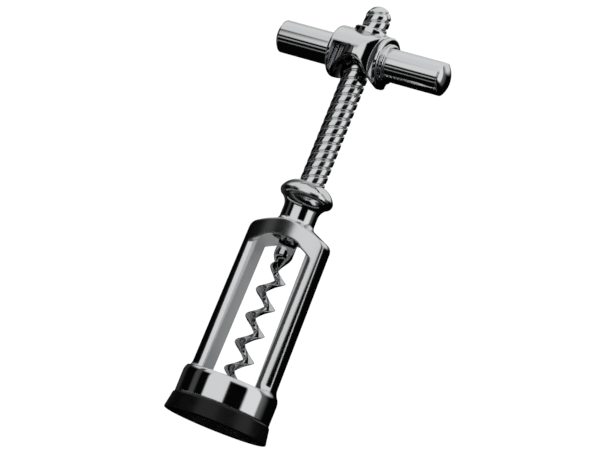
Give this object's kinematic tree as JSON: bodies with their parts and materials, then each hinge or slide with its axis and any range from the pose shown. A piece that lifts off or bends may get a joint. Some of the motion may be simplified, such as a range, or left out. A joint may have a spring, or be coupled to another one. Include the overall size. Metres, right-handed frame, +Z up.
{
  "type": "bell frame corkscrew",
  "caption": "Open bell-frame corkscrew: ringed cage that seats on a bottle, coarse-threaded spindle with a pointed worm, and a T-handle whose hub is the nut.",
  "frame": {"origin": "centre of the base ring's bottom face, on the spindle's axis", "axes": "+Z up the spindle towards the handle; the cage's open faces look along -Y and +Y"},
  "size_m": [0.0654, 0.036, 0.1525],
  "materials": {
    "chrome_frame": "polished chrome plate on the cast frame, a little softer than on the spindle",
    "chrome_handle": "polished chrome plate on the handle",
    "chrome_spindle": "polished chrome plate on the threaded spindle",
    "worm_steel": "bright plated steel wire",
    "ring_plastic": "moulded black plastic, fine satin grain",
    "bush_plastic": "turned natural acetal",
    "insert_steel": "plated steel, machined",
    "fitting_steel": "plain steel"
  },
  "bodies": {
    "frame": {"bell_frame": "chrome_frame", "base_ring": "ring_plastic", "bush_retaining_ring": "fitting_steel"},
    "bush": {"neck_bush": "bush_plastic"},
    "washer": {"hub_washer": "bush_plastic"},
    "handle": {"handle_hub": "chrome_handle", "thread_insert": "insert_steel", "insert_grub_screw": "fitting_steel", "insert_circlip": "fitting_steel", "right_arm": "chrome_handle", "right_arm_collar": "chrome_handle", "right_arm_cap": "chrome_handle", "right_arm_pin": "fitting_steel", "left_arm": "chrome_handle", "left_arm_collar": "chrome_handle", "left_arm_cap": "chrome_handle", "left_arm_pin": "fitting_steel"},
    "spindle": {"spindle": "chrome_spindle", "worm": "worm_steel", "worm_pin": "fitting_steel"}
  },
  "joints": [
    {"name": "spindle_turn", "type": "hinge", "parent": "frame", "child": "bush", "pos_m": [0, 0, 0.079], "axis": [0, 0, 1], "continuous": true},
    {"name": "drive", "type": "slide", "parent": "bush", "child": "washer", "axis": [0, 0, 1], "range_m": [-0.036, 0]},
    {"name": "handle_turn", "type": "hinge", "parent": "washer", "child": "handle", "pos_m": [0, 0, 0.135], "axis": [0, 0, 1], "range_deg": [-1440, 0]},
    {"name": "spindle_lift", "type": "slide", "parent": "washer", "child": "spindle", "axis": [0, 0, 1], "range_m": [0, 0.036]}
  ],
  "couplings": [
    {"joint": "handle_turn", "follows": "spindle_lift", "rad_per_m": -698.13}
  ]
}
